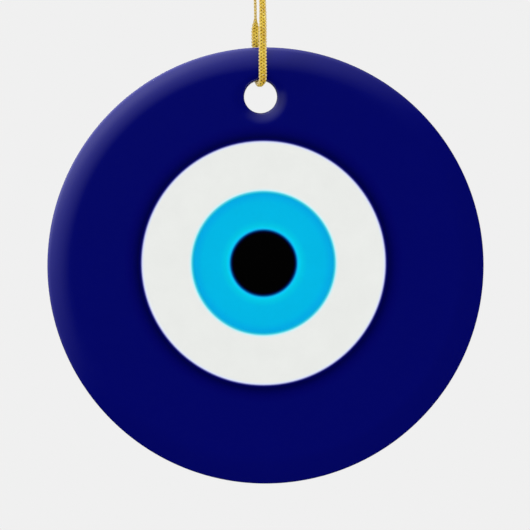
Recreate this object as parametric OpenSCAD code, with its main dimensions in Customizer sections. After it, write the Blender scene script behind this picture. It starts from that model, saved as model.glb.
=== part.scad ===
// Evil eye ornament: a glazed ceramic disc with an eye printed on each face,
// hung by a thin gold cord that passes through a hole near its rim.
//
// Frame: +Z up, front face towards -Y. The origin is the inside top of the cord's
// loop, where a hook bears, just under the knot. All sizes are in millimetres.

/* [Disc] */
// Diameter of the ceramic disc
disc_d = 73; // [60:0.5:90]
// Thickness of the disc between its two flat faces
disc_t = 4; // [3.6:0.1:6]
// Width of the rounded border that each face has along the rim
border_w = 4.3; // [3:0.1:6]
// Radius of the rim's edge, seen from the side
edge_r = 1.2; // [0.8:0.05:1.4]
// Width of the bare ceramic line that the two prints leave round the rim
rim_line_w = 0.5; // [0.3:0.1:1]

/* [Hole] */
// Diameter of the hole for the cord
hole_d = 5.5; // [4.5:0.1:7]
// Ceramic left between the hole and the rim
hole_rim_gap = 5.55; // [4.5:0.05:8]
// Radius of the hole's rounded lips
lip_r = 1.1; // [0.6:0.1:1.4]

/* [Print] */
// Thickness of the printed and fired colour layers
print_t = 0.2; // [0.1:0.05:0.3]
// Outer diameter of the white ring
white_d = 40.8; // [36:0.2:46]
// Outer diameter of the light blue ring
blue_d = 24; // [18:0.5:30]
// Diameter of the black pupil
pupil_d = 10.9; // [8:0.1:14]
// How far the front print sits left of the disc's centre
front_print_left = 0.3; // [0:0.1:1]
// How far the front print sits above the disc's centre
front_print_up = 0.4; // [0:0.1:1]

/* [Cord] */
// Diameter of the cord, taken as round
cord_d = 1.2; // [0.8:0.1:1.4]
// Gap between the cord and the ceramic that it bears on
cord_gap = 0.1; // [0.05:0.05:0.3]
// Diameter of the knot
knot_d = 5.4; // [4.4:0.2:7]
// Height of the knot
knot_h = 6; // [5:0.2:8]
// Radius of the knot's rounded shoulders
knot_shoulder_r = 1.7; // [1:0.1:2]
// Gap in which the cord's strands turn under the knot
knot_gap = 0.1; // [0.05:0.05:0.3]

/* [Hidden] */
$fn = 96;

// Cuts run past the faces that they open by this much.
over = 1;

// Section of the disc, with x out from its axis: a flat, a border arc, an edge arc.
disc_r = disc_d / 2;
flat_r = disc_r - border_w;
edge_centre = disc_r - edge_r;
border_run = border_w - edge_r;
border_r = (pow(border_run, 2) + pow(disc_t / 2, 2) - pow(edge_r, 2)) / (disc_t - 2 * edge_r);
border_centre = border_r - disc_t / 2;

// The hole, and where the disc hangs from the cord's bend inside it.
hole_r = hole_d / 2;
hole_up = disc_r - hole_rim_gap - hole_r;
lip_centre = disc_t / 2 - lip_r;

// The cord's route, from the knot down the front, through the hole and up the back.
cord_route = [
    [0, -0.65, 1.5], [0, -0.65, 1], [0.1, -1.3, 0], [0.1, -1.65, -1], [0.1, -1.8, -2.5],
    [0.2, -1.9, -7], [0.25, -2, -12], [0.3, -2.15, -18], [0.4, -2.3, -24], [0.45, -2.4, -30],
    [0.5, -2.55, -36], [0.6, -2.7, -42], [0.6, -2.75, -46], [0.6, -2.75, -51], [0.6, -2.75, -56],
    [0.6, -2.75, -60], [0.6, -2.75, -62.2], [0.4, -2.6, -63], [0.2, -2.2, -63.6], [0, -1.6, -63.9],
    [0, -0.9, -64], [0, 0, -64], [0, 0.9, -64],
    [0, 1.6, -63.9], [-0.2, 2.2, -63.6], [-0.4, 2.6, -63], [-0.6, 2.75, -62.2], [-0.6, 2.75, -60],
    [-0.6, 2.75, -56], [-0.6, 2.75, -51], [-0.6, 2.75, -46], [-0.6, 2.7, -42], [-0.5, 2.55, -36],
    [-0.45, 2.4, -30], [-0.4, 2.3, -24], [-0.3, 2.15, -18], [-0.25, 2, -12], [-0.2, 1.9, -7],
    [-0.1, 1.8, -2.5], [-0.1, 1.65, -1], [-0.1, 1.3, 0], [0, 0.65, 1], [0, 0.65, 1.5]
];
bend_z = min([for (p = cord_route) p.z]);
disc_z = bend_z - (hole_r - cord_d / 2 - cord_gap) - hole_up;

// The knot sits on the strands' top ends, and the two tails start on its top.
knot_z = cord_route[0].z + knot_gap;
tail_z = knot_z + knot_h;
front_tail_route = [
    [0, -0.65, 0], [0, -0.65, 0.8], [-0.1, -1, 2], [-0.2, -1.4, 3.5], [-0.4, -1.9, 5], [-0.7, -2.6, 7]
];
back_tail_route = [
    [0, 0.65, 0], [0, 0.65, 0.8], [0.1, 0.9, 2], [0.4, 1.2, 3.5], [0.8, 1.5, 5], [1.4, 1.9, 7.5]
];

// The two faces: seen from the front, z points out of the face, and mirror makes the back.
module on_disc() {
    translate([0, 0, disc_z]) rotate([90, 0, 0]) children();
}

// Half of the disc's section, drawn this far inside its surface.
module disc_section(inset) {
    tangent_x = flat_r + (border_r - inset) * border_run / (border_r - edge_r);
    translate([0, inset - disc_t / 2]) square([flat_r, disc_t - 2 * inset]);
    intersection() {
        translate([flat_r, -disc_t]) square([tangent_x - flat_r, 2 * disc_t]);
        translate([flat_r, -border_centre]) circle(border_r - inset);
        translate([flat_r, border_centre]) circle(border_r - inset);
    }
    translate([edge_centre, 0]) circle(edge_r - inset);
}

// What the hole takes away. Its lips are drawn this far inside the surface.
module hole_cut(inset) {
    translate([0, hole_up, 0]) rotate_extrude() {
        translate([0, -disc_t / 2 - over]) square([hole_r, disc_t + 2 * over]);
        for (face = [0, 1])
            mirror([0, face]) difference() {
                translate([0, lip_centre]) square([hole_r + lip_r, lip_r + over]);
                translate([hole_r + lip_r, lip_centre]) circle(lip_r - inset);
            }
    }
}

// A printed layer on the front face, between two diameters about a centre.
module print_ring(outer_d, inner_d, centre) {
    difference() {
        translate([centre.x, centre.y, disc_t / 2 - print_t]) cylinder(h = print_t, d = outer_d);
        translate([centre.x, centre.y, 0]) cylinder(h = disc_t, d = inner_d);
        hole_cut(0);
    }
}

// The ceramic under the prints, without its bare rim line.
module ceramic_core() {
    difference() {
        rotate_extrude() disc_section(print_t);
        hole_cut(print_t);
    }
}

// The navy print: a skin over the face, its rounded border and the hole's lip.
module navy_skin(centre) {
    difference() {
        rotate_extrude() intersection() {
            disc_section(0);
            translate([0, rim_line_w / 2]) square([disc_r + over, disc_t]);
        }
        ceramic_core();
        translate([centre.x, centre.y, 0]) cylinder(h = disc_t, d = white_d);
        hole_cut(0);
    }
}

front_centre = [-front_print_left, front_print_up];
back_centre = [0, 0];

module ceramic_disc() {
    color([0.95, 0.94, 0.91]) on_disc() difference() {
        rotate_extrude() {
            disc_section(print_t);
            intersection() {
                translate([edge_centre, 0]) circle(edge_r);
                translate([edge_centre, -rim_line_w / 2]) square([edge_r + over, rim_line_w]);
            }
        }
        hole_cut(print_t);
    }
}

module front_navy_field() {
    color([0.01, 0.02, 0.39]) on_disc() navy_skin(front_centre);
}

module front_white_ring() {
    color([0.91, 0.92, 0.91]) on_disc() print_ring(white_d, blue_d, front_centre);
}

module front_blue_ring() {
    color([0, 0.73, 0.9]) on_disc() print_ring(blue_d, pupil_d, front_centre);
}

module front_pupil() {
    color([0.02, 0.02, 0.02]) on_disc() translate([0, 0, disc_t / 2 - print_t])
        translate(front_centre) cylinder(h = print_t, d = pupil_d);
}

module back_navy_field() {
    color([0.01, 0.02, 0.39]) on_disc() mirror([0, 0, 1]) navy_skin(back_centre);
}

module back_white_ring() {
    color([0.91, 0.92, 0.91]) on_disc() mirror([0, 0, 1]) print_ring(white_d, blue_d, back_centre);
}

module back_blue_ring() {
    color([0, 0.73, 0.9]) on_disc() mirror([0, 0, 1]) print_ring(blue_d, pupil_d, back_centre);
}

module back_pupil() {
    color([0.02, 0.02, 0.02]) on_disc() mirror([0, 0, 1]) translate([0, 0, disc_t / 2 - print_t])
        translate(back_centre) cylinder(h = print_t, d = pupil_d);
}

// A cord's tube: one ring of points square to the route at each of its points.
cord_sides = 8;

function unit(v) = v / norm(v);

function heading(route, i) =
    unit(route[min(i + 1, len(route) - 1)] - route[max(i - 1, 0)]);

function ring(centre, along) =
    let (side = unit(cross(along, [1, 0, 0])), wide = cross(along, side))
    [for (k = [0:cord_sides - 1])
        let (turn = (k + 0.5) * 360 / cord_sides)
        centre + cord_d / 2 * (cos(turn) * wide + sin(turn) * side)];

module cord_tube(route) {
    last = len(route) - 1;
    points = [for (i = [0:last]) each ring(route[i], heading(route, i))];
    walls = [for (i = [0:last - 1], k = [0:cord_sides - 1])
        let (next = (k + 1) % cord_sides, here = i * cord_sides, there = here + cord_sides)
        [here + k, here + next, there + next, there + k]];
    start = [for (k = [cord_sides - 1:-1:0]) k];
    end = [for (k = [0:cord_sides - 1]) last * cord_sides + k];
    polyhedron(points, concat(walls, [start, end]));
}

module hanging_cord() {
    color([0.87, 0.74, 0.27]) cord_tube(cord_route);
}

module cord_knot() {
    shoulder_x = knot_d / 2 - knot_shoulder_r;
    color([0.8, 0.66, 0.2]) translate([0, 0, knot_z]) rotate_extrude() {
        square([shoulder_x, knot_h]);
        translate([0, knot_shoulder_r]) square([knot_d / 2, knot_h - 2 * knot_shoulder_r]);
        for (h = [knot_shoulder_r, knot_h - knot_shoulder_r])
            intersection() {
                translate([shoulder_x, h]) circle(knot_shoulder_r);
                square([knot_d, knot_h]);
            }
    }
}

module front_cord_tail() {
    color([0.87, 0.74, 0.27]) translate([0, 0, tail_z]) cord_tube(front_tail_route);
}

module back_cord_tail() {
    color([0.87, 0.74, 0.27]) translate([0, 0, tail_z]) cord_tube(back_tail_route);
}

ceramic_disc();
front_navy_field();
front_white_ring();
front_blue_ring();
front_pupil();
back_navy_field();
back_white_ring();
back_blue_ring();
back_pupil();
hanging_cord();
cord_knot();
front_cord_tail();
back_cord_tail();
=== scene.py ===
"""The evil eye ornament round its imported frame.

A glazed, printed ceramic disc hangs from a knitted gold cord. Sizes are in millimetres, except where a
comment says metres.
"""

import math

import bpy
import numpy as np
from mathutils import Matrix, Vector
from mathutils.geometry import delaunay_2d_cdt

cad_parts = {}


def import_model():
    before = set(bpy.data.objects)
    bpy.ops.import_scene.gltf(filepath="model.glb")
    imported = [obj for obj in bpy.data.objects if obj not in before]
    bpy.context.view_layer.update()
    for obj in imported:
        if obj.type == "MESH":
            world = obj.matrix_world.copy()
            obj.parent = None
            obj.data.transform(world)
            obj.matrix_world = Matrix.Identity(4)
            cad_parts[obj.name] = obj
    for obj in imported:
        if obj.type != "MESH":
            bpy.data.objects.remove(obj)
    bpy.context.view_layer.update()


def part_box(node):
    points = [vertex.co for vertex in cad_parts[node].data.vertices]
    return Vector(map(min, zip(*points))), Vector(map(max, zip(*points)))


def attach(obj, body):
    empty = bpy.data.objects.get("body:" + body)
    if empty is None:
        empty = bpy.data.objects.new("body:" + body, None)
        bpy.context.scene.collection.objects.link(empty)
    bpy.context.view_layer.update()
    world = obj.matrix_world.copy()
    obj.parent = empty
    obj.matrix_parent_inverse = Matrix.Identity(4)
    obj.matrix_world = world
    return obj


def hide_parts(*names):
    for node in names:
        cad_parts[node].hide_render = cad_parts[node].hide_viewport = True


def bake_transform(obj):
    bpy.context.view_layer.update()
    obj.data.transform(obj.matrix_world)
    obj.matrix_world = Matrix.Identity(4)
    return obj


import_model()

MM = 0.001


def middle(node):
    """The middle of a CAD node's box."""
    low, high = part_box(node)
    return (np.array(low) + np.array(high)) / 2 / MM


def width(node):
    """The width of a CAD node's box."""
    low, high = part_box(node)
    return (high.x - low.x) / MM


# ---------------------------------------------------------------- sizes
# The disc's faces are drawn in (u, v, h): right, up, and out from the disc's middle plane.
DISC = middle("ceramic_disc")
DISC_R = width("ceramic_disc") / 2
# The front pupil's box spans the printed layer on the front face.
PRINT_OUTSIDE, PRINT_UNDERSIDE = [corner.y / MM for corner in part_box("front_pupil")]
HALF_T = -PRINT_OUTSIDE
PRINT_T = PRINT_UNDERSIDE - PRINT_OUTSIDE
FACES = {"front": -1, "back": 1}

# The rim's section: a wide border arc from the flat, then the edge's small arc, with a bare line round it.
BORDER_W = 4.3
EDGE_R = 1.2
BARE_LINE = 0.5
FLAT_R = DISC_R - BORDER_W
EDGE_CENTRE = DISC_R - EDGE_R
BORDER_RUN = EDGE_CENTRE - FLAT_R
BORDER_R = (BORDER_RUN**2 + HALF_T**2 - EDGE_R**2) / (2 * HALF_T - 2 * EDGE_R)
BORDER_CENTRE = BORDER_R - HALF_T

HOLE_R = 2.75
HOLE_TO_RIM = 5.55
HOLE_UP = DISC_R - HOLE_TO_RIM - HOLE_R
# The hole's lip slopes in from the flat to LIP_TILT, runs straight, and then turns down into the hole.
LIP_TILT = math.radians(18.4)
LIP_R = 1.1
# Its first radius, the length of its straight and its last radius: wide towards the disc's middle, where it
# is WIDE_LIP, and narrow towards the rim, where it is NARROW_LIP but for a small share of the wide one.
WIDE_LIP = (3.6, 0.6, 0.55)
NARROW_LIP = (LIP_R, 0.0, LIP_R)
WIDE_SHARE = 0.08
# It narrows between the directions that have these sines.
NARROWS_OVER = (0.1, 0.85)

# ---------------------------------------------------------------- camera
LENS, SENSOR = 300.0, 36.0
# The picture's width at the disc's face, its roll, and how far right of and above the disc's middle it aims.
FRAME_WIDE = 88.40
CAMERA_ROLL = math.radians(1.67)
AIM_RIGHT, AIM_UP = -0.073, 0.070
# In metres.
CLIP_NEAR, CLIP_FAR = 0.05, 20

right = np.array([math.cos(CAMERA_ROLL), 0, -math.sin(CAMERA_ROLL)])
up = np.array([math.sin(CAMERA_ROLL), 0, math.cos(CAMERA_ROLL)])
distance = FRAME_WIDE * LENS / SENSOR
aim = np.array([DISC[0], -HALF_T, DISC[2]]) + AIM_RIGHT * right + AIM_UP * up
camera = bpy.data.objects.new("camera", bpy.data.cameras.new("camera"))
camera.data.lens, camera.data.sensor_width = LENS, SENSOR
camera.data.clip_start, camera.data.clip_end = CLIP_NEAR, CLIP_FAR
camera.location = (aim - np.array([0, distance, 0])) * MM
camera.rotation_euler = (math.pi / 2, CAMERA_ROLL, 0)
bpy.context.scene.collection.objects.link(camera)
bpy.context.scene.camera = camera


# ---------------------------------------------------------------- shader nodes
def put(tree, socket, value):
    """Links a node's output to the socket, or sets the socket's own value."""
    if isinstance(value, bpy.types.NodeSocket):
        tree.links.new(value, socket)
    else:
        socket.default_value = value


def add_node(tree, kind, inputs=(), **settings):
    made = tree.nodes.new(kind)
    for key, value in settings.items():
        setattr(made, key, value)
    for key, value in dict(inputs).items():
        put(tree, made.inputs[key], value)
    return made


def fill_ramp(band, stops):
    """Gives a colour ramp its stops: (place from 0 to 1, colour)."""
    while len(band.elements) < len(stops):
        band.elements.new(0.5)
    for element, (at, colour) in zip(band.elements, stops):
        element.position = at
        element.color = (*colour, 1)


class Shader:
    """A material and its nodes."""

    def __init__(self, name):
        self.material = bpy.data.materials.new(name)
        self.material.use_nodes = True
        self.tree = self.material.node_tree
        self.tree.nodes.clear()
        self.surface = self.node("ShaderNodeBsdfPrincipled")
        output = self.node("ShaderNodeOutputMaterial")
        self.tree.links.new(self.surface.outputs[0], output.inputs["Surface"])
        self.place = self.node("ShaderNodeTexCoord").outputs["Object"]

    def node(self, kind, inputs=(), **settings):
        return add_node(self.tree, kind, inputs, **settings)

    def set(self, **values):
        """Sets the surface's inputs, named in small letters."""
        for key, value in values.items():
            put(self.tree, self.surface.inputs[key.replace("_", " ").title().replace("Ior", "IOR")], value)

    def math(self, operation, *values):
        return self.node("ShaderNodeMath", enumerate(values), operation=operation).outputs[0]

    def vector(self, operation, *values, output=0):
        return self.node("ShaderNodeVectorMath", enumerate(values), operation=operation).outputs[output]

    def ramp(self, value, stops, smooth=True):
        """A colour for each value: stops are (value, colour), the values in any range."""
        low, high = stops[0][0], stops[-1][0]
        share = self.math("DIVIDE", self.math("SUBTRACT", value, low), high - low)
        made = self.node("ShaderNodeValToRGB", {0: share})
        made.color_ramp.interpolation = "EASE" if smooth else "LINEAR"
        fill_ramp(made.color_ramp, [((at - low) / (high - low), colour) for at, colour in stops])
        return made.outputs["Color"]

    def noise(self, scale, detail=2.0, rough=0.5):
        settings = {"Vector": self.place, "Scale": scale, "Detail": detail, "Roughness": rough}
        return self.node("ShaderNodeTexNoise", settings).outputs["Fac"]

    def between(self, value, low, high):
        """value, from 0 to 1, spread from low to high."""
        return self.math("MULTIPLY_ADD", value, high - low, low)

    def mix(self, factor, a, b, blend="MIX"):
        """Two colours, as sockets or as plain colours, mixed by factor."""
        made = self.node("ShaderNodeMix", data_type="RGBA", blend_type=blend)
        sockets = [socket for socket in made.inputs if socket.enabled and socket.type in ("RGBA", "VALUE")]
        for key, value in (("Factor", factor), ("A", a), ("B", b)):
            socket = next(socket for socket in sockets if socket.name == key)
            put(self.tree, socket, (*value, 1) if isinstance(value, tuple) else value)
        return next(socket for socket in made.outputs if socket.enabled)

    def bump(self, *layers):
        """Adds heights in metres on one another."""
        height = layers[0]
        for layer in layers[1:]:
            height = self.math("ADD", height, layer)
        return self.node("ShaderNodeBump", {"Height": height, "Distance": 1.0, "Strength": 1.0}).outputs[0]


def linear(r, g, b):
    """A colour on the 0 to 255 scale as a linear one, by the sRGB curve."""
    shares = [c / 255 for c in (r, g, b)]
    return tuple(c / 12.92 if c <= 0.04045 else ((c + 0.055) / 1.055) ** 2.4 for c in shares)


# What a flat face sends back of this scene's light, as a share of its reflectance.
LIGHT_ON_FLAT = 0.954


def seen(r, g, b):
    """The reflectance that shows as this colour on the flat."""
    return tuple(c / LIGHT_ON_FLAT for c in linear(r, g, b))


# ---------------------------------------------------------------- materials
# Stops across a print, from its middle outwards: the edge they are measured from, the step outwards from it,
# and the colour on the 0 to 255 scale. The inks bleed a little into each other, as fired prints do.
PUPIL = (2, 2, 2)
IRIS = (0, 184, 229)
NAVY = (3, 6, 99)
WHITE = (233, 235, 232)
PUPIL_EDGE, IRIS_EDGE, WHITE_EDGE = (2, 64, 124), (116, 220, 235), (90, 92, 166)
PRINT_STOPS = {
    "pupil": [
        ("centre", 0, PUPIL), ("pupil", -0.6, PUPIL), ("pupil", -0.4, (2, 1, 16)),
        ("pupil", -0.25, (0, 4, 36)), ("pupil", -0.1, (0, 30, 82)), ("pupil", 0, PUPIL_EDGE),
    ],
    "blue_ring": [
        ("pupil", 0, PUPIL_EDGE), ("pupil", 0.1, (6, 106, 174)), ("pupil", 0.25, (15, 172, 232)),
        ("pupil", 0.4, (9, 202, 246)), ("pupil", 0.6, (2, 204, 237)), ("pupil", 0.9, (1, 197, 229)),
        ("pupil", 1.8, IRIS), ("blue_ring", -1.8, (0, 183, 229)), ("blue_ring", -0.8, (1, 171, 228)),
        ("blue_ring", -0.6, (2, 167, 226)), ("blue_ring", -0.45, (2, 169, 223)),
        ("blue_ring", -0.3, (10, 178, 218)), ("blue_ring", -0.12, (58, 200, 221)),
        ("blue_ring", 0, IRIS_EDGE),
    ],
    "white_ring": [
        ("blue_ring", 0, IRIS_EDGE), ("blue_ring", 0.06, (148, 231, 241)),
        ("blue_ring", 0.2, (206, 242, 247)), ("blue_ring", 0.4, (229, 235, 236)),
        ("blue_ring", 0.6, WHITE), ("white_ring", -0.5, WHITE),
        ("white_ring", -0.36, (228, 234, 240)), ("white_ring", -0.22, (219, 224, 249)),
        ("white_ring", -0.1, (172, 176, 224)), ("white_ring", 0, WHITE_EDGE),
    ],
    "navy_field": [
        ("white_ring", 0, WHITE_EDGE), ("white_ring", 0.1, (28, 28, 112)), ("white_ring", 0.22, (3, 3, 88)),
        ("white_ring", 0.36, (1, 2, 74)), ("white_ring", 0.6, (1, 2, 68)), ("white_ring", 0.95, (1, 2, 79)),
        ("white_ring", 1.5, (2, 3, 90)), ("white_ring", 2.2, (3, 4, 96)), ("white_ring", 2.9, NAVY),
        ("white_ring", 4.0, NAVY),
    ],
}

GLASS_IOR = 1.5
# How far the print's edges waver.
EDGE_WAVER = 0.03
# Heights of the surfaces' small waves, in metres.
GLAZE_RIPPLE, GLAZE_PEEL, CERAMIC_GRAIN, YARN_GRAIN = 4e-6, 4e-7, 5e-6, 1.2e-5
# How much paler the painted sheen makes the cord's narrow sides, and how metallic its yarn.
SIDE_SHEEN_PAINTED = 0.8
YARN_METAL = 0.12


def glaze(name, stops, centre):
    """Glazed print: its colour goes by the distance from the print's middle, faintly mottled and rippled."""
    s = Shader(name)
    out = s.vector("MULTIPLY", s.vector("SUBTRACT", s.place, tuple(c * MM for c in centre)), (1, 0, 1))
    radius = s.math("MULTIPLY", s.vector("LENGTH", out, output=1), 1 / MM)
    grain = s.noise(scale=9000, detail=3, rough=0.6)
    radius = s.math("ADD", radius, s.between(grain, low=-EDGE_WAVER, high=EDGE_WAVER))
    colour = s.ramp(radius, [(at, seen(*c)) for at, c in stops], smooth=False)
    mottle = s.between(s.noise(scale=260, detail=4, rough=0.6), low=0.965, high=1.035)
    tint = s.node("ShaderNodeCombineColor", {0: mottle, 1: mottle, 2: mottle}).outputs[0]
    s.set(base_color=s.mix(1.0, colour, tint, "MULTIPLY"))
    s.set(roughness=s.between(s.noise(scale=1500), low=0.045, high=0.075))
    s.set(ior=GLASS_IOR)
    ripple = s.math("MULTIPLY", s.noise(scale=330, detail=2, rough=0.4), GLAZE_RIPPLE)
    peel = s.math("MULTIPLY", s.noise(scale=1700, detail=1, rough=0.4), GLAZE_PEEL)
    s.set(normal=s.bump(ripple, peel))
    return s.material


def bare_ceramic():
    """The bare edge: white glaze thin over the body, with a few darker grains."""
    s = Shader("bare_ceramic")
    clear = (1, 1, 1)
    specks = [(0.0, clear), (0.66, clear), (0.72, (0.72, 0.66, 0.58)), (1.0, (0.66, 0.6, 0.52))]
    grains = s.ramp(s.noise(scale=5200, detail=2, rough=0.7), specks)
    shades = [(0.2, seen(222, 220, 212)), (0.8, seen(240, 239, 234))]
    base = s.ramp(s.noise(scale=700, detail=4, rough=0.6), shades)
    s.set(base_color=s.mix(1.0, base, grains, "MULTIPLY"))
    s.set(roughness=s.between(s.noise(scale=2400), low=0.22, high=0.42))
    s.set(ior=GLASS_IOR)
    s.set(normal=s.bump(s.math("MULTIPLY", s.noise(scale=2600, detail=3, rough=0.6), CERAMIC_GRAIN)))
    return s.material


def gold_yarn():
    """Flat metallised yarn: yellow gold with dull patches, painted glints, and painted sheen that makes the
    cord's narrow sides paler.
    """
    s = Shader("gold_yarn")
    shades = [(0.25, seen(206, 160, 34)), (0.5, seen(231, 195, 56)), (0.75, seen(250, 220, 90))]
    base = s.ramp(s.noise(scale=900, detail=3, rough=0.6), shades)
    # Painted sheen: the edge attribute, highest on the cord's narrow sides, mixes the colour towards a pale
    # gold, standing in for light along the edges.
    side = s.node("ShaderNodeAttribute", attribute_name="edge").outputs["Fac"]
    base = s.mix(s.math("MULTIPLY", side, SIDE_SHEEN_PAINTED), base, seen(244, 224, 172))
    dull, bright = (0, 0, 0), (1, 1, 1)
    # Painted glints: random small specks of the colour turn pale gold, standing in for the yarn's
    # reflections.
    painted_glint = s.ramp(s.noise(scale=5200), [(0.0, dull), (0.6, dull), (0.7, bright), (1.0, bright)])
    s.set(base_color=s.mix(painted_glint, base, seen(254, 244, 180)))
    s.set(metallic=YARN_METAL)
    s.set(roughness=s.between(s.noise(scale=3000), low=0.3, high=0.5))
    s.set(normal=s.bump(s.math("MULTIPLY", s.noise(scale=9000, detail=2, rough=0.6), YARN_GRAIN)))
    return s.material


def core_painted_shade():
    """The cord's inside, seen between its yarns, coloured dark brown as painted shade."""
    s = Shader("core_painted_shade")
    shades = [(0.2, seen(78, 52, 8)), (0.8, seen(124, 90, 22))]
    s.set(base_color=s.ramp(s.noise(scale=2500, detail=3, rough=0.6), shades))
    s.set(roughness=0.8)
    return s.material


# CORE's dark colour is painted shade between the yarns.
GOLD, CORE = gold_yarn(), core_painted_shade()

# ---------------------------------------------------------------- meshes
# Edges that fold by more than this look sharp.
SHARP_FOLD = math.radians(35)


def piece(name, points, faces, materials, slots=None, sharp=SHARP_FOLD):
    """A mesh object from points in the record's frame."""
    mesh = bpy.data.meshes.new(name)
    mesh.from_pydata((np.asarray(points) * MM).tolist(), [], faces)
    for material in materials:
        mesh.materials.append(material)
    if slots is not None:
        mesh.polygons.foreach_set("material_index", np.asarray(slots, np.int32))
    mesh.polygons.foreach_set("use_smooth", [True] * len(mesh.polygons))
    if sharp:
        mesh.set_sharp_from_angle(angle=sharp)
    mesh.update()
    made = bpy.data.objects.new(name, mesh)
    bpy.context.scene.collection.objects.link(made)
    return made


def turns(count):
    """The angles of points spaced evenly round a circle."""
    return np.arange(count) * 2 * np.pi / count


def circle(u, v, r, count):
    return np.stack([u + r * np.cos(turns(count)), v + r * np.sin(turns(count))], 1)


def flipped(faces):
    return [face[::-1] for face in faces]


def shifted(faces, by):
    """Faces or loops on points that stand this many places further on."""
    return [[i + by for i in face] for face in faces]


def wall(loop_a, loop_b):
    """Faces between two loops that run the same way."""
    n = len(loop_a)
    return [[loop_a[i], loop_a[(i + 1) % n], loop_b[(i + 1) % n], loop_b[i]] for i in range(n)]


# ---------------------------------------------------------------- cord
# The route of the loop, from the knot down the front, through the hole and up the back, in metres.
CORD_ROUTE = [
    (0, -0.00065, 0.0015), (0, -0.00065, 0.001), (0.0001, -0.0013, 0), (0.0001, -0.00165, -0.001),
    (0.0001, -0.0018, -0.0025), (0.0002, -0.0019, -0.007), (0.00025, -0.002, -0.012),
    (0.0003, -0.00215, -0.018), (0.0004, -0.0023, -0.024), (0.00045, -0.0024, -0.03),
    (0.0005, -0.00255, -0.036), (0.0006, -0.0027, -0.042), (0.0006, -0.00275, -0.046),
    (0.0006, -0.00275, -0.051), (0.0006, -0.00275, -0.056), (0.0006, -0.00275, -0.06),
    (0.0006, -0.00275, -0.0622), (0.0004, -0.0026, -0.063), (0.0002, -0.0022, -0.0636),
    (0, -0.0016, -0.0639), (0, -0.0009, -0.064), (0, 0, -0.064), (0, 0.0009, -0.064),
    (0, 0.0016, -0.0639), (-0.0002, 0.0022, -0.0636), (-0.0004, 0.0026, -0.063),
    (-0.0006, 0.00275, -0.0622), (-0.0006, 0.00275, -0.06), (-0.0006, 0.00275, -0.056),
    (-0.0006, 0.00275, -0.051), (-0.0006, 0.00275, -0.046), (-0.0006, 0.0027, -0.042),
    (-0.0005, 0.00255, -0.036), (-0.00045, 0.0024, -0.03), (-0.0004, 0.0023, -0.024),
    (-0.0003, 0.00215, -0.018), (-0.00025, 0.002, -0.012), (-0.0002, 0.0019, -0.007),
    (-0.0001, 0.0018, -0.0025), (-0.0001, 0.00165, -0.001), (-0.0001, 0.0013, 0),
    (0, 0.00065, 0.001), (0, 0.00065, 0.0015),
]
TAIL_ROUTES = {
    "front": [
        (0, -0.00065, 0.0076), (0, -0.00065, 0.0084), (-0.0001, -0.001, 0.0096),
        (-0.0002, -0.0014, 0.0111), (-0.0004, -0.0019, 0.0126), (-0.0007, -0.0026, 0.0146),
    ],
    "back": [
        (0, 0.00065, 0.0076), (0, 0.00065, 0.0084), (0.0001, 0.0009, 0.0096),
        (0.0004, 0.0012, 0.0111), (0.0008, 0.0015, 0.0126), (0.0014, 0.0019, 0.0151),
    ],
}
# The flattened cord's width and thickness.
CORD_WIDE, CORD_THICK = 1.42, 0.48
# How far the flattened cord lies from the round one's route, at its points from FIRST_SETTLED on.
FIRST_SETTLED = 11
SETTLED = [
    (0, 0, 0), (0.1, 0.1, 0), (0.2, 0.2, 0), (0.06, 0.26, 0), (-0.07, 0.28, 0), (-0.11, 0.29, 0),
    (0.05, 0.25, 0.02), (0.18, 0.15, 0.08), (0.18, 0, 0.12), (0.03, 0, 0.14), (-0.03, 0, 0.14),
    (-0.05, 0, 0.14), (-0.14, 0, 0.12), (-0.06, -0.15, 0.08), (-0.02, -0.25, 0.02), (0.05, -0.29, 0),
    (0.04, -0.28, 0), (0.03, -0.24, 0), (0.16, 0.08, 0), (0.1, 0.1, 0), (0, 0, 0),
]
# The yarns wound each way, the length in which each goes round once, its width and thickness, and how far it
# moves in and out where it crosses the others.
YARNS = 3
LEAD = 1.65
YARN_WIDE, YARN_THICK = 0.36, 0.13
WEAVE = 0.05
YARN_SIDES = 6
# A yarn's width where a strand's size runs out to nothing, as a share of the full one.
TIP_YARN = 0.35
# Where the painted sheen turns the yarns paler, by the share of the way from the section's middle to its
# narrow side.
SIDE_SHEEN_OVER = (0.72, 0.98)
# The core lies this far inside the yarns' middles, is at least this thick to each side of its own middle, and
# takes every CORE_STRIDE-th point of the line.
CORE_INSET, CORE_THINNEST = 0.06, 0.02
CORE_SIDES, CORE_STRIDE = 8, 4
# The section is an oval, squarer than an ellipse, whose power would be 1.
SECTION_POWER = 0.85
SECTION_STEPS = 96
# The share of the outline over which a yarn's tilt is measured.
TILT_STEP = 0.01
# The spacing of the points along a cord, and the finer steps between two points of a route.
STEP = 1 / 18
ROUTE_STEPS = 40
# Lengths and shares that count as nothing.
TINY, TINIEST = 1e-6, 1e-9


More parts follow.
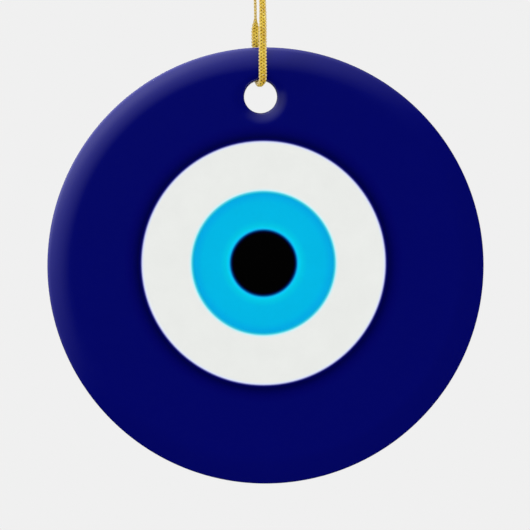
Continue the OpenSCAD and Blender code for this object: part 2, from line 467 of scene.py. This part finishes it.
def smooth_line(points, step):
    """A smooth line through the points, a centripetal Catmull-Rom curve, with points about step apart."""
    p = np.asarray(points, float)
    p = np.vstack([2 * p[0] - p[1], p, 2 * p[-1] - p[-2]])
    fine = []
    for a, b, c, d in zip(p[:-3], p[1:-2], p[2:-1], p[3:]):
        gap = np.sqrt([np.linalg.norm(b - a), np.linalg.norm(c - b), np.linalg.norm(d - c)])
        t0, t1 = 0.0, gap[0]
        t2, t3 = t1 + gap[1], t1 + gap[1] + gap[2]
        t = np.linspace(t1, t2, ROUTE_STEPS, endpoint=False)[:, None]
        a1 = (t1 - t) / (t1 - t0) * a + (t - t0) / (t1 - t0) * b
        a2 = (t2 - t) / (t2 - t1) * b + (t - t1) / (t2 - t1) * c
        a3 = (t3 - t) / (t3 - t2) * c + (t - t2) / (t3 - t2) * d
        b1 = (t2 - t) / (t2 - t0) * a1 + (t - t0) / (t2 - t0) * a2
        b2 = (t3 - t) / (t3 - t1) * a2 + (t - t1) / (t3 - t1) * a3
        fine.append((t2 - t) / (t2 - t1) * b1 + (t - t1) / (t2 - t1) * b2)
    return spaced(np.vstack([*fine, p[-2][None]]), step)


def lengths(line):
    """How far along the line each of its points is."""
    return np.concatenate([[0], np.cumsum(np.linalg.norm(np.diff(line, axis=0), axis=1))])


def spaced(line, step):
    """The same line with evenly spaced points."""
    along = lengths(line)
    at = np.linspace(0, along[-1], max(2, round(along[-1] / step) + 1))
    return np.stack([np.interp(at, along, line[:, k]) for k in range(3)], axis=1)


def unit(v):
    return v / np.linalg.norm(v, axis=-1, keepdims=True)


def smoothstep(x, low, high):
    """0 up to low, 1 from high, and smooth between them."""
    t = np.clip((np.asarray(x, float) - low) / (high - low), 0, 1)
    return t * t * (3 - 2 * t)


def section_table(a, b):
    """For each sample's half axes: the section's points, and each one's share of the way round."""
    turn = np.linspace(0, 2 * np.pi, SECTION_STEPS + 1)
    c, s = np.cos(turn), np.sin(turn)
    x = a[:, None] * np.sign(c) * np.abs(c) ** SECTION_POWER
    y = b[:, None] * np.sign(s) * np.abs(s) ** SECTION_POWER
    step = np.hypot(np.diff(x, axis=1), np.diff(y, axis=1))
    along = np.concatenate([np.zeros((len(a), 1)), np.cumsum(step, 1)], 1)
    return x, y, along / along[:, -1:]


def round_place(table, where):
    """The section's point at each sample's own share of the way round."""
    x, y, share = table
    where = where % 1.0
    k = np.clip((share <= where[:, None]).sum(1) - 1, 0, SECTION_STEPS - 1)
    i = np.arange(len(where))
    f = (where - share[i, k]) / np.maximum(share[i, k + 1] - share[i, k], TINIEST)
    return x[i, k] * (1 - f) + x[i, k + 1] * f, y[i, k] * (1 - f) + y[i, k + 1] * f


def cord_frames(line, wide_hint, twist):
    """Each sample's direction across the cord's wide side, and out of its flat side."""
    along = unit(np.gradient(line, axis=0))
    wide = unit(wide_hint - (wide_hint * along).sum(1, keepdims=True) * along)
    flat = np.cross(along, wide)
    c, s = np.cos(twist)[:, None], np.sin(twist)[:, None]
    return wide * c + flat * s, flat * c - wide * s


def yarn_tube(centres, out, sides, wide, thick):
    """A closed tube along centres, wide across and thick along out."""
    along = unit(np.gradient(centres, axis=0))
    across = unit(np.cross(along, out))
    out = np.cross(across, along)
    turn = (np.arange(sides) + 0.5) * 2 * np.pi / sides
    ring = (
        centres[:, None]
        + (wide / 2)[:, None, None] * np.cos(turn)[None, :, None] * across[:, None]
        + (thick / 2)[:, None, None] * np.sin(turn)[None, :, None] * out[:, None]
    )
    n = len(centres)
    i, k = np.meshgrid(np.arange(n - 1), np.arange(sides), indexing="ij")
    k2 = (k + 1) % sides
    quads = np.stack([i * sides + k, (i + 1) * sides + k, (i + 1) * sides + k2, i * sides + k2], -1)
    ends = [list(range(sides)), [(n - 1) * sides + k for k in range(sides - 1, -1, -1)]]
    return ring.reshape(-1, 3), quads.reshape(-1, 4).tolist() + ends


def braid(name, *strands):
    """Knitted tubes of flat yarns wound both ways over and under each other, round an inside coloured dark as
    painted shade.

    Each strand is its line, its wide side's direction, its turn from there, its half width and half
    thickness, and its share of the full size.
    """
    points, faces, slots, painted_sheen = [], [], [], []

    def add(tube, slot, pale):
        faces.extend(shifted(tube[1], sum(len(p) for p in points)))
        points.append(tube[0])
        slots.extend([slot] * len(tube[1]))
        painted_sheen.append(pale)

    for line, wide_hint, *by_sample in strands:
        twist, half_wide, half_thick, size = (np.broadcast_to(values, len(line)) for values in by_sample)
        wide, flat = cord_frames(line, wide_hint, twist)
        inset = YARN_THICK / 2 + WEAVE
        a, b = (half_wide - inset) * size, (half_thick - inset) * size
        table = section_table(a, b)
        rounds = lengths(line) / LEAD
        wave = np.cos(2 * np.pi * YARNS * rounds)
        yarn_wide = YARN_WIDE * (TIP_YARN + (1 - TIP_YARN) * size)
        for way in (1, -1):
            for k in range(YARNS):
                share = way * rounds + k / YARNS
                x, y = round_place(table, share)
                x1, y1 = round_place(table, share - TILT_STEP)
                x2, y2 = round_place(table, share + TILT_STEP)
                normal = unit(np.stack([y2 - y1, x1 - x2], 1) + TINIEST)
                lift = way * WEAVE * wave * size
                out = normal[:, :1] * wide + normal[:, 1:] * flat
                centres = line + x[:, None] * wide + y[:, None] * flat + lift[:, None] * out
                yarn = yarn_tube(centres, out, YARN_SIDES, yarn_wide, np.full(len(line), YARN_THICK))
                # Each yarn point's share of the painted sheen, rising towards the cord's narrow sides.
                add(yarn, 0, np.repeat(smoothstep(np.abs(x) / np.maximum(a, TINY), *SIDE_SHEEN_OVER), YARN_SIDES))
        # The core inside the yarns, whose dark colour is painted shade.
        pick = np.unique(np.append(np.arange(0, len(line), CORE_STRIDE), len(line) - 1))
        core_wide = 2 * (a[pick] - CORE_INSET)
        core_thick = 2 * np.maximum(b[pick] - CORE_INSET, CORE_THINNEST)
        core = yarn_tube(line[pick], flat[pick], CORE_SIDES, core_wide, core_thick)
        add(core, 1, np.zeros(len(core[0])))
    made = piece(name, np.vstack(points), faces, [GOLD, CORE], slots, sharp=None)
    # The painted sheen's shares go to the edge attribute, which the yarn's material reads.
    edge = made.data.attributes.new("edge", "FLOAT", "POINT")
    edge.data.foreach_set("value", np.concatenate(painted_sheen).astype(np.float32))
    return made


# ---------------------------------------------------------------- the loop
RIGHT = np.array([1.0, 0.0, 0.0])
# In the hole the cord is bunched, narrower and thicker: wholly below the first height, not above the second.
HOLE_NARROWER, HOLE_THICKER = 0.1, 0.25
HOLE_OVER = (-63.8, -62.7)
# Above the disc the back strand turns its edge to the front, and the front strand turns a little. Each turn,
# and each change below, goes on between two heights.
BACK_TURN, BACK_OVER = math.radians(86), (-55.3, -52.5)
FRONT_TURN, FRONT_OVER = math.radians(34), (-58, -50.5)
# Both are flat again where they come together at the knot, which presses them rounder.
FLAT_OVER = (-46, -8)
PRESSED, PRESSED_OVER = 0.08, (-3.5, 0.5)
PRESSED_SECTION = (CORD_WIDE / 2 - PRESSED, CORD_THICK / 2 + PRESSED)

loop_points = np.array(CORD_ROUTE) / MM
loop_points[FIRST_SETTLED:FIRST_SETTLED + len(SETTLED)] += SETTLED
loop_line = smooth_line(loop_points, STEP)
behind, z = loop_line[:, 1] > 0, loop_line[:, 2]
in_hole = 1 - smoothstep(z, *HOLE_OVER)
by_knot = smoothstep(z, *PRESSED_OVER)
half_wide = CORD_WIDE / 2 - HOLE_NARROWER * in_hole - PRESSED * by_knot
half_thick = CORD_THICK / 2 + HOLE_THICKER * in_hole + PRESSED * by_knot
twist = np.where(behind, BACK_TURN * smoothstep(z, *BACK_OVER), FRONT_TURN * smoothstep(z, *FRONT_OVER))
twist = twist * (1 - smoothstep(z, *FLAT_OVER))
loop = braid("hanging_cord_yarns", (loop_line, RIGHT, twist, half_wide, half_thick, 1.0))
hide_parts("hanging_cord")

# ---------------------------------------------------------------- the tails
# A tail's tip as a share of its full size, and the length over which it grows.
TIP_SIZE, TIP_LENGTH = 0.25, 0.9

for name, route in TAIL_ROUTES.items():
    line = smooth_line(np.array(route) / MM, STEP)
    size = TIP_SIZE + (1 - TIP_SIZE) * smoothstep(np.linalg.norm(line - line[-1], axis=1), 0.0, TIP_LENGTH)
    tail = braid(f"{name}_tail_yarns", (line, RIGHT, 0.0, *PRESSED_SECTION, size))
    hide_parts(f"{name}_cord_tail")
    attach(tail, "hanger")

# ---------------------------------------------------------------- the knot
# The doubled cord goes up, winds down round itself, and goes up again through its own turns.
KNOT_LOW, KNOT_HIGH = 1.5, 7.6
# How far from the knot's axis the cord stands in the core, and in the turns round it.
KNOT_CORE, KNOT_ROUND = 0.5, 1.62
# The turns round the core: their number, the degrees at which they start, and the heights they go between.
KNOT_TURNS, KNOT_FIRST_TURN = 1.5, 50
TURNS_HIGH, TURNS_LOW = 5.9, 3.1
TURN_POINTS = 19
KNOT_STEP = 0.16
# How close two cords come in the knot, where each is pressed round, and its half axes there.
KNOT_CLEAR = 0.88
KNOT_SECTION = (0.47, 0.43)
# The lengths at each end over which the two cords part, and over which they are pressed round.
PARTS_OVER, ROUND_OVER = 1.0, 1.2
# The cords settle in small moves, each of which takes away a share of the overlaps and then of the bends.
SETTLING_MOVES = 150
PUSH, STRAIGHTEN = 0.5, 0.25
STRAIGHTEN_TIMES = 2
# Points of one cord that are nearer than this along it don't push each other, and HELD at each end stay put.
NEAR_ALONG = 1.6 * KNOT_CLEAR
HELD = 3


def from_ends(count):
    """How many steps each of so many points is from the nearer end."""
    return np.minimum(np.arange(count), np.arange(count)[::-1])


def knot_middle():
    """The line midway between the two cords."""
    turn = np.radians(np.linspace(KNOT_FIRST_TURN, KNOT_FIRST_TURN + 360 * KNOT_TURNS, TURN_POINTS))
    heights = np.linspace(TURNS_HIGH, TURNS_LOW, TURN_POINTS)
    round_core = np.stack([KNOT_ROUND * np.cos(turn), KNOT_ROUND * np.sin(turn), heights], 1)
    c, last = KNOT_CORE, round_core[-1]
    up_first = [
        (0, 0, KNOT_LOW), (0, 0, 1.9), (c * 0.7, 0, 2.6), (c, 0, 3.4), (c, 0, 4.5), (c, 0, 5.6),
        (c + 0.1, 0.05, 6.3), (c + 0.6, 0.45, 6.75),
    ]
    up_again = [
        (last[0] * 0.72, last[1] * 0.72, 2.45), (-c, -0.1, 2.7), (-c, 0, 3.5), (-c, 0, 4.5), (-c, 0, 5.6),
        (-c * 0.8, 0, 6.5), (0, 0, 7.2), (0, 0, KNOT_HIGH),
    ]
    return smooth_line(np.vstack([up_first, round_core, up_again]), KNOT_STEP)


def knot_sides(along):
    """The direction from the middle line to one cord, at each of its points."""
    # It turns as little as the line allows.
    side = np.zeros_like(along)
    v = np.array([0.0, 1.0, 0.0])
    for i, d in enumerate(along):
        v = unit(v - (v @ d) * d)
        side[i] = v
    # Then it is turned evenly on the way, so that the cords leave the knot one behind the other.
    left = (math.atan2(side[-1][0], side[-1][1]) + math.pi / 2) % math.pi - math.pi / 2
    share = np.linspace(0, left, len(along))[:, None]
    return side * np.cos(share) + np.cross(along, side) * np.sin(share)


def settled(lines):
    """The two cords' lines when they have pushed each other apart and straightened themselves."""
    ends = lines.copy()
    n = lines.shape[1]
    cord, order = np.repeat([0, 1], n), np.tile(np.arange(n), 2)
    along = abs(order[:, None] - order[None]) * KNOT_STEP
    can_touch = (cord[:, None] != cord[None]) | (along > NEAR_ALONG)
    for _ in range(SETTLING_MOVES):
        p = lines.reshape(-1, 3)
        gap = p[:, None] - p[None]
        far = np.linalg.norm(gap, axis=2)
        touching = can_touch & (far < KNOT_CLEAR)
        push = np.where(touching, (KNOT_CLEAR - far) / np.maximum(far, TINY), 0)[..., None] * gap
        push = push.sum(1) / np.maximum(touching.sum(1), 1)[:, None]
        lines = (p + push * PUSH).reshape(2, n, 3)
        for _ in range(STRAIGHTEN_TIMES):
            lines[:, 1:-1] += ((lines[:, :-2] + lines[:, 2:]) / 2 - lines[:, 1:-1]) * STRAIGHTEN
        lines[:, :HELD], lines[:, -HELD:] = ends[:, :HELD], ends[:, -HELD:]
    return lines


def knot_strands():
    """The two cords in the knot: their lines, and the direction of each one's wide side."""
    centre = knot_middle()
    along = unit(np.gradient(centre, axis=0))
    side = knot_sides(along)
    wide = np.cross(side, along)
    parted = smoothstep(KNOT_STEP * from_ends(len(centre)), 0.0, PARTS_OVER)
    reach = (abs(CORD_ROUTE[0][1]) / MM * (1 - parted) + KNOT_CLEAR / 2 * parted)[:, None]
    for line in settled(np.stack([centre + side * reach, centre - side * reach])):
        made = smooth_line(line, STEP)
        at, old = np.linspace(0, 1, len(made)), np.linspace(0, 1, len(centre))
        yield made, np.stack([np.interp(at, old, wide[:, k]) for k in range(3)], 1)


knot_cords = []
for line, wide in knot_strands():
    pressed = smoothstep(from_ends(len(line)) * STEP, 0.0, ROUND_OVER)
    section = [a + (b - a) * pressed for a, b in zip(PRESSED_SECTION, KNOT_SECTION)]
    knot_cords.append((line, wide, 0.0, *section, 1.0))
knot = braid("knot_yarns", *knot_cords)
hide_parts("cord_knot")
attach(knot, "hanger")

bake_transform(loop)
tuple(CORD_ROUTE[0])

# ---------------------------------------------------------------- the disc
RIM_POINTS = 360
LIP_POINTS = 120
# Rows down the border arc and the edge arc, across the bare edge, and down the lip's slope and its turn.
BORDER_ROWS, EDGE_ROWS, BARE_ROWS, SLOPE_ROWS, TURN_ROWS = 14, 10, 9, 5, 9
# The flat's own rows of points, by radius: round the print, and on a plain flat.
PRINTED_ROWS = (21.5, 23.0, 25.0, 27.0, 29.0, 30.5, 31.6)
PLAIN_ROWS = (8.0, 14.0, 20.0, 25.0, 29.0, 31.6)
ROW_SPACING = 1.1
# Gaps from the flat's outlines to its rows, from the lip to the row round it, and from that row to the rim.
ROW_GAP, LIP_ROW_GAP, LIP_ROW_TO_RIM = 0.35, 0.3, 0.12
# A triangle lies on the flat where its middle is this far outside the hole's lip and the print.
OUTSIDE_GAP = 0.01
# Rings of faces in each printed layer.
RING_ROWS, PUPIL_ROWS = 6, 5


def lip_row(tilt, after_straight):
    """Radii and heights round the hole where the lip has this tilt, before or after its straight stretch."""
    wide = 1 - (1 - WIDE_SHARE) * smoothstep(np.sin(turns(LIP_POINTS)), *NARROWS_OVER)
    first, straight, last = (n + (w - n) * wide for w, n in zip(WIDE_LIP, NARROW_LIP))
    if after_straight:
        r = last * (1 - math.sin(tilt))
        h = first * (1 - math.cos(LIP_TILT)) + straight * math.sin(LIP_TILT)
        h = h + last * (math.cos(LIP_TILT) - math.cos(tilt))
    else:
        r = last * (1 - math.sin(LIP_TILT)) + straight * math.cos(LIP_TILT)
        r = r + first * (math.sin(LIP_TILT) - math.sin(tilt))
        h = first * (1 - math.cos(tilt))
    return HOLE_R + r, HALF_T - h


LIP_OUT = lip_row(0.0, False)[0]


def outside_print(points, print_circle, gap):
    u, v, r = print_circle
    return np.hypot(points[:, 0] - u, points[:, 1] - v) > r + gap


def outside_lip(points, gap):
    turn = np.arctan2(points[:, 1] - HOLE_UP, points[:, 0]) % (2 * np.pi)
    edge = np.interp(turn, np.append(turns(LIP_POINTS), 2 * np.pi), np.append(LIP_OUT, LIP_OUT[0]))
    return np.hypot(points[:, 0], points[:, 1] - HOLE_UP) > edge + gap


def flat_region(rings, print_circle):
    """Triangles over the flat between closed rings of points."""
    rows = PRINTED_ROWS if print_circle else PLAIN_ROWS
    fill = np.vstack([circle(0, 0, r, round(2 * np.pi * r / ROW_SPACING)) for r in rows])
    fill = fill[outside_lip(fill, ROW_GAP)]
    lip_ring = circle(0, HOLE_UP, LIP_OUT + LIP_ROW_GAP, LIP_POINTS)
    fill = np.vstack([fill, lip_ring[np.hypot(lip_ring[:, 0], lip_ring[:, 1]) < FLAT_R - LIP_ROW_TO_RIM]])
    if print_circle:
        fill = fill[outside_print(fill, print_circle, ROW_GAP)]
    points = np.vstack([*rings, fill])
    edges, at = [], 0
    for ring in rings:
        n = len(ring)
        edges += [(at + i, at + (i + 1) % n) for i in range(n)]
        at += n
    made = delaunay_2d_cdt([Vector(p) for p in points], edges, [], 0, TINY)
    if len(made[0]) != len(points):
        raise ValueError("the flat's points were merged")
    back = [ids[0] for ids in made[3]]
    corners = np.array([[back[i] for i in face] for face in made[2]])
    mid = points[corners].mean(1)
    inside = outside_lip(mid, OUTSIDE_GAP)
    if print_circle:
        inside &= outside_print(mid, print_circle, OUTSIDE_GAP)
    corners = corners[inside]
    side_a = points[corners[:, 1]] - points[corners[:, 0]]
    side_b = points[corners[:, 2]] - points[corners[:, 0]]
    turned = side_a[:, 0] * side_b[:, 1] - side_a[:, 1] * side_b[:, 0] < 0
    corners[turned] = corners[turned][:, [0, 2, 1]]
    return points, corners.tolist()


def border_rows(inset):
    """Radii and heights from the flat down to the bare line, drawn inset inside the surface."""
    border_r, edge_r = BORDER_R - inset, EDGE_R - inset
    steepest = math.asin(BORDER_RUN / (BORDER_R - EDGE_R))
    last = math.acos(BARE_LINE / 2 / edge_r)
    border = np.linspace(0, steepest, BORDER_ROWS + 1)[1:]
    edge = np.linspace(steepest, last, EDGE_ROWS + 1)[1:]
    rows = [(FLAT_R + border_r * math.sin(a), border_r * math.cos(a) - BORDER_CENTRE) for a in border]
    return rows + [(EDGE_CENTRE + edge_r * math.sin(a), edge_r * math.cos(a)) for a in edge]


def surface(print_circle, inset):
    """One face of the disc, drawn inset inside its surface.

    It gives points (u, v, h), faces, and the open loops at the rim, the lip and the print.
    """
    rings = [circle(0, 0, FLAT_R, RIM_POINTS), circle(0, HOLE_UP, LIP_OUT, LIP_POINTS)]
    if print_circle:
        rings.append(circle(*print_circle, RIM_POINTS))
    flat, faces = flat_region(rings, print_circle)
    points = [np.column_stack([flat, np.full(len(flat), HALF_T - inset)])]
    starts = np.cumsum([0] + [len(ring) for ring in rings])
    loops = [list(range(a, b)) for a, b in zip(starts[:-1], starts[1:])]
    total = len(flat)

    def row(outline, h):
        nonlocal total
        points.append(np.column_stack([outline, np.broadcast_to(h, len(outline))]))
        total += len(outline)
        return list(range(total - len(outline), total))

    for r, h in border_rows(inset):
        ring = row(circle(0, 0, r, RIM_POINTS), h)
        faces += wall(ring, loops[0])
        loops[0] = ring
    slope = [(a, False) for a in np.linspace(0, LIP_TILT, SLOPE_ROWS + 1)[1:]]
    turn = [(a, True) for a in np.linspace(LIP_TILT, math.pi / 2, TURN_ROWS)]
    for a, after_straight in slope + turn:
        r, h = lip_row(a, after_straight)
        ring = row(circle(0, HOLE_UP, r + inset * math.sin(a), LIP_POINTS), h - inset * math.cos(a))
        faces += wall(loops[1], ring)
        loops[1] = ring
    return np.vstack(points), faces, loops


def on_face(points, faces, way):
    """Points (u, v, h) and faces put on the disc's front (way -1) or back (way 1)."""
    p = np.column_stack([points[:, 0] + DISC[0], way * points[:, 2], points[:, 1] + DISC[2]])
    return p, faces if way < 0 else flipped(faces)


def navy_field(way, print_circle):
    outer, outer_faces, outer_loops = surface(print_circle, 0.0)
    inner, inner_faces, inner_loops = surface(print_circle, PRINT_T)
    n = len(outer)
    rim, lip, ring = [wall(a, b) for a, b in zip(outer_loops, shifted(inner_loops, n))]
    faces = outer_faces + flipped(shifted(inner_faces, n)) + flipped(rim) + lip + ring
    return on_face(np.vstack([outer, inner]), faces, way)


def print_disc(way, centre, radii):
    """A flat printed ring through the radii given, or a whole disc where the first of them is 0."""
    points, faces, sides = [], [], []
    total = 0
    for h in (HALF_T, HALF_T - PRINT_T):
        loops = []
        for r in radii:
            count = RIM_POINTS if r > 0 else 1
            points.append(np.column_stack([circle(*centre, r, count), np.full(count, h)]))
            loops.append(list(range(total, total + count)))
            total += count
        made = []
        for a, b in zip(loops[:-1], loops[1:]):
            if len(a) == 1:
                made += [[a[0], b[i], b[(i + 1) % RIM_POINTS]] for i in range(RIM_POINTS)]
            else:
                made += wall(b, a)
        faces += flipped(made) if sides else made
        sides.append(loops)
    top, under = sides
    faces += flipped(wall(top[-1], under[-1]))
    if radii[0] > 0:
        faces += wall(top[0], under[0])
    return on_face(np.vstack(points), faces, way)


def ceramic_body():
    front, front_faces, (front_rim, front_lip) = surface(None, PRINT_T)
    n = len(front)
    points, total = [front, front * [1, 1, -1]], 2 * n
    faces = front_faces + flipped(shifted(front_faces, n))
    back_rim, back_lip = shifted([front_rim, front_lip], n)

    def bridge(start, end, rows, up_by, count):
        """Faces from one loop to another, through rows of this radius and height."""
        nonlocal total
        made, loop = [], start
        for r, h in rows:
            points.append(np.column_stack([circle(0, up_by, r, count), np.broadcast_to(h, count)]))
            ring = list(range(total, total + count))
            total += count
            made += wall(loop, ring)
            loop = ring
        return made + wall(loop, end)

    reach = math.acos(BARE_LINE / 2 / EDGE_R)
    bare = np.linspace(reach, math.pi - reach, BARE_ROWS)
    rim_rows = [(EDGE_CENTRE + EDGE_R * math.sin(a), EDGE_R * math.cos(a)) for a in bare]
    faces += flipped(bridge(front_rim, back_rim, rim_rows, 0, RIM_POINTS))
    lip_end = lip_row(math.pi / 2, True)[1]
    hole_rows = [(HOLE_R, h) for h in (lip_end, 0.0, -lip_end)]
    faces += bridge(front_lip, back_lip, hole_rows, HOLE_UP, LIP_POINTS)
    return on_face(np.vstack(points), faces, -1)


body = piece("ceramic_disc_body", *ceramic_body(), [bare_ceramic()])
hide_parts("ceramic_disc")
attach(body, "ornament")
disc_pieces = [body]

for face_name, way in FACES.items():
    spot = middle(f"{face_name}_white_ring")
    centre = (spot[0] - DISC[0], spot[2] - DISC[2])
    radii = {part: width(f"{face_name}_{part}") / 2 for part in ("white_ring", "blue_ring", "pupil")}
    white_rows = np.linspace(radii["blue_ring"], radii["white_ring"], RING_ROWS + 1)
    blue_rows = np.linspace(radii["pupil"], radii["blue_ring"], RING_ROWS + 1)
    shapes = {
        "navy_field": navy_field(way, (*centre, radii["white_ring"])),
        "white_ring": print_disc(way, centre, white_rows),
        "blue_ring": print_disc(way, centre, blue_rows),
        "pupil": print_disc(way, centre, np.linspace(0, radii["pupil"], PUPIL_ROWS + 1)),
    }
    for part, shape in shapes.items():
        stops = [(radii.get(edge, 0) + step, colour) for edge, step, colour in PRINT_STOPS[part]]
        made = piece(f"{face_name}_{part}_glaze", *shape, [glaze(f"{face_name}_{part}", stops, spot)])
        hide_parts(f"{face_name}_{part}")
        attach(made, "ornament")
        disc_pieces.append(made)

# ---------------------------------------------------------------- stage
# The direction to the one large soft lamp, at the upper left in the disc's own plane.
LAMP = np.array([-0.602, 0.0, 0.799])
# How bright its reflection is at its middle, and the share of that by the cosine of the angle from there.
LAMP_BRIGHT = 1.75
LAMP_FALLOFF = [
    (0, 0), (0.1, 0.015), (0.2, 0.07), (0.32, 0.16), (0.46, 0.27), (0.52, 0.34), (0.58, 0.4), (0.68, 0.62),
    (0.77, 0.86), (0.84, 0.97), (1, 1),
]
# The same lamp's direct light, which rakes over the disc.
SUN_STRENGTH, SUN_ANGLE = 1.8 * math.pi, math.radians(18)
BACKDROP = linear(240, 240, 240)[0]
# A wide round floor far below, as pale as the backdrop.
FLOOR_TONE, FLOOR_ROUGH = 0.87, 0.9
FLOOR_R, FLOOR_Z, FLOOR_SIDES = 3600, -400, 96


def world():
    """Even white light, the lamp's reflection on glossy surfaces, and a plain pale backdrop."""
    made = bpy.data.worlds.new("studio")
    made.use_nodes = True
    made.cycles.sampling_method = "NONE"
    tree = made.node_tree
    tree.nodes.clear()

    def calculate(operation, *values):
        return add_node(tree, "ShaderNodeMath", enumerate(values), operation=operation).outputs[0]

    ray = add_node(tree, "ShaderNodeLightPath").outputs
    direction = add_node(tree, "ShaderNodeTexCoord").outputs["Generated"]
    nearness = add_node(tree, "ShaderNodeVectorMath", {0: direction, 1: tuple(LAMP)}, operation="DOT_PRODUCT")
    falloff = add_node(tree, "ShaderNodeValToRGB", {0: calculate("MAXIMUM", nearness.outputs["Value"], 0.0)})
    fill_ramp(falloff.color_ramp, [(at, (bright, bright, bright)) for at, bright in LAMP_FALLOFF])
    gloss = calculate("MULTIPLY", falloff.outputs[0], LAMP_BRIGHT)
    # The strength is the backdrop's tone for camera rays, the lamp's for glossy ones and 1 for the rest.
    not_glossy = calculate("SUBTRACT", 1.0, ray["Is Glossy Ray"])
    not_camera = calculate("SUBTRACT", 1.0, ray["Is Camera Ray"])
    light = calculate("MULTIPLY_ADD", gloss, ray["Is Glossy Ray"], not_glossy)
    light = calculate("MULTIPLY", light, not_camera)
    strength = calculate("MULTIPLY_ADD", ray["Is Camera Ray"], BACKDROP, light)
    background = add_node(tree, "ShaderNodeBackground", {"Color": (1, 1, 1, 1), "Strength": strength})
    add_node(tree, "ShaderNodeOutputWorld", {"Surface": background.outputs[0]})
    return made


bpy.context.scene.world = world()
bpy.context.scene.view_settings.view_transform = "Standard"

sun = bpy.data.objects.new("raking_lamp", bpy.data.lights.new("raking_lamp", "SUN"))
sun.data.energy, sun.data.angle = SUN_STRENGTH, SUN_ANGLE
sun.rotation_euler = Vector(LAMP).to_track_quat("Z", "Y").to_euler()
sun.visible_glossy = False
bpy.context.scene.collection.objects.link(sun)
# It shines on the disc only: the cord has the even light alone.
sun.light_linking.receiver_collection = bpy.data.collections.new("lit_by_lamp")
for made in disc_pieces:
    sun.light_linking.receiver_collection.objects.link(made)

floor_shader = Shader("floor")
floor_shader.set(base_color=(FLOOR_TONE, FLOOR_TONE, FLOOR_TONE, 1), roughness=FLOOR_ROUGH)
floor_points = np.column_stack([circle(0, 0, FLOOR_R, FLOOR_SIDES), np.full(FLOOR_SIDES, FLOOR_Z)])
floor = piece("floor", floor_points, [list(range(FLOOR_SIDES))], [floor_shader.material], sharp=None)
floor.visible_glossy = False
